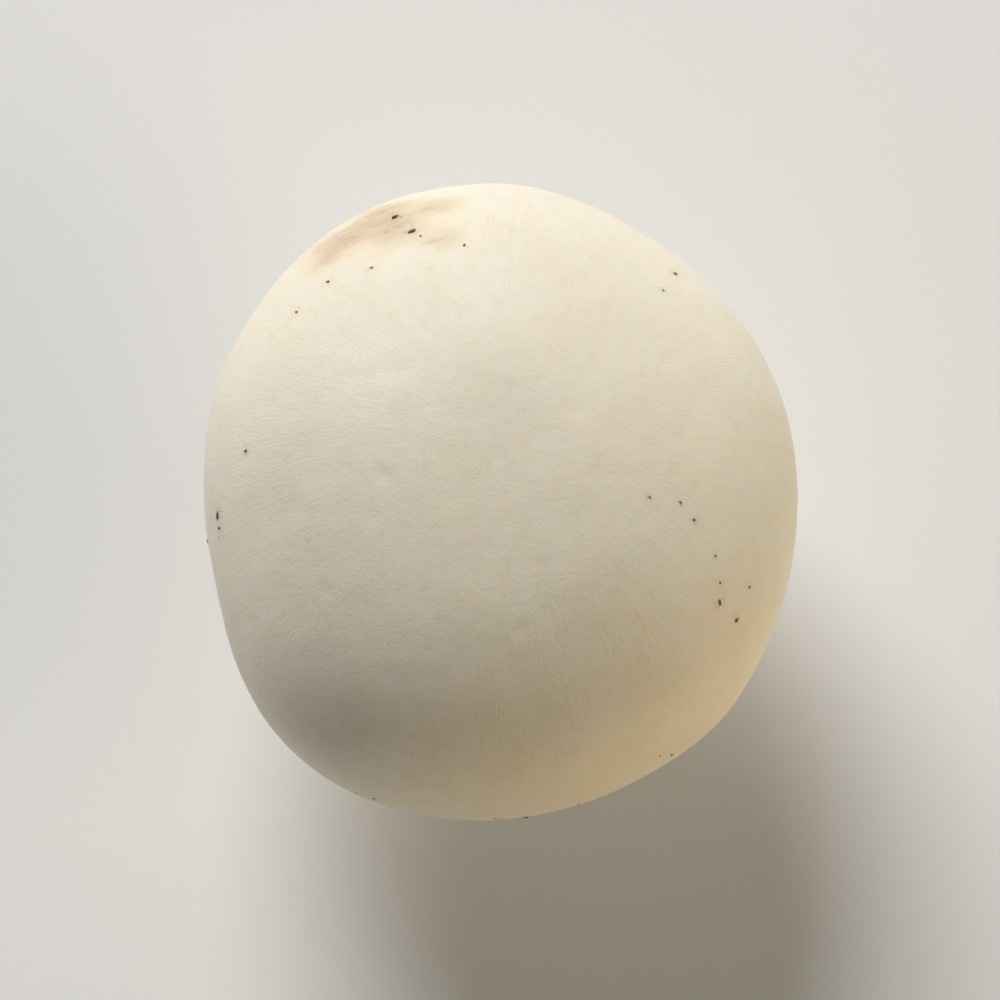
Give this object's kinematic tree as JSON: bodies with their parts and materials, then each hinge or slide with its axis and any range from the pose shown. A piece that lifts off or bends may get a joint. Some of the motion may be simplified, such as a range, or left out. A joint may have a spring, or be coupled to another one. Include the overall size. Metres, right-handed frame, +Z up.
{
  "type": "button mushroom",
  "caption": "White button mushroom with a domed cap, a closed veil under its rolled edge and a short cut stem that it stands on.",
  "frame": {"origin": "middle of the flat cut face of the stem, on the surface that the mushroom stands on", "axes": "+Z up through the stem towards the crown of the cap; +Y along the cap's longest width"},
  "size_m": [0.0498, 0.0536, 0.0431],
  "materials": {
    "mushroom_flesh": "satin"
  },
  "bodies": {
    "root": {"button_mushroom": "mushroom_flesh"}
  },
  "joints": []
}
